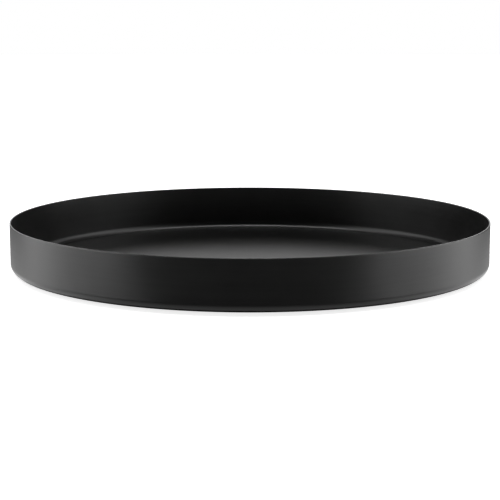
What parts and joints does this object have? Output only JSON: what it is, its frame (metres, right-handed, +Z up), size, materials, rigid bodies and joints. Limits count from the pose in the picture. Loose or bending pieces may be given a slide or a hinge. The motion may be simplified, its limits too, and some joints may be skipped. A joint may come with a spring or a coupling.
{
  "type": "serving tray",
  "caption": "Round flat-bottomed serving tray: a shallow sheet-metal pan with a low upright wall and a rounded rim, in satin black, on anti-slip pads.",
  "frame": {"origin": "the tray's centre, on the plane that the undersides of the pads stand on", "axes": "+Z up, out of the tray's open side, along the axis the pan is round about; -Y is called the front and +X the right, because the tray has no front of its own; the pads lie on the diagonals between X and Y"},
  "size_m": [0.4, 0.4, 0.042],
  "materials": {
    "coated_sheet": "satin black powder coat with a very fine grain",
    "pad_silicone": "matt dark grey silicone",
    "adhesive_film": "thin clear acrylic film, milky at its edge"
  },
  "bodies": {
    "root": {"tray_pan": "coated_sheet", "anti_slip_pad_front_left": "pad_silicone", "anti_slip_pad_front_right": "pad_silicone", "anti_slip_pad_back_left": "pad_silicone", "anti_slip_pad_back_right": "pad_silicone", "pad_adhesive_front_left": "adhesive_film", "pad_adhesive_front_right": "adhesive_film", "pad_adhesive_back_left": "adhesive_film", "pad_adhesive_back_right": "adhesive_film"}
  },
  "joints": []
}
